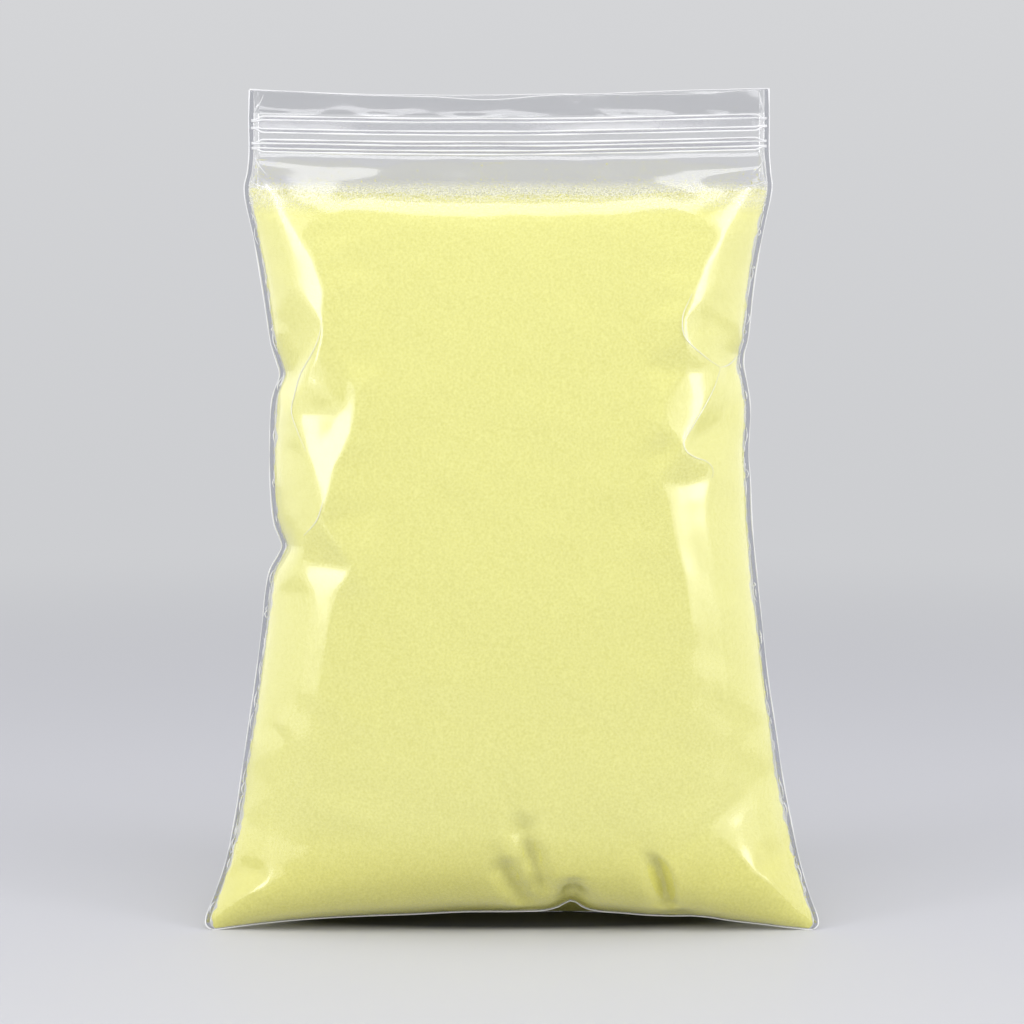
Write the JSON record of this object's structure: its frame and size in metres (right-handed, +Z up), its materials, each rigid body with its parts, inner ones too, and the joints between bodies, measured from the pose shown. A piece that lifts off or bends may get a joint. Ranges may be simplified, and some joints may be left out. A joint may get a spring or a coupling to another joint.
{
  "type": "resealable bag of ground sulfur",
  "caption": "Clear zip-top film bag, closed and filled with pale yellow ground sulfur, standing upright on its base.",
  "frame": {"origin": "on the surface the bag stands on, under the middle of the bag", "axes": "+Z up from the base to the zip, +X along the width, +Y from the front panel to the back panel"},
  "size_m": [0.173, 0.0524, 0.236],
  "materials": {
    "film": "clear thin polythene film",
    "zip": "clear extruded polythene",
    "powder": "fine matte powder"
  },
  "bodies": {
    "root": {"front_panel": "film", "back_panel": "film", "sulfur_powder": "powder", "lower_zip_rib": "zip", "lower_zip_channel": "zip", "upper_zip_rib": "zip", "upper_zip_channel": "zip"}
  },
  "joints": []
}
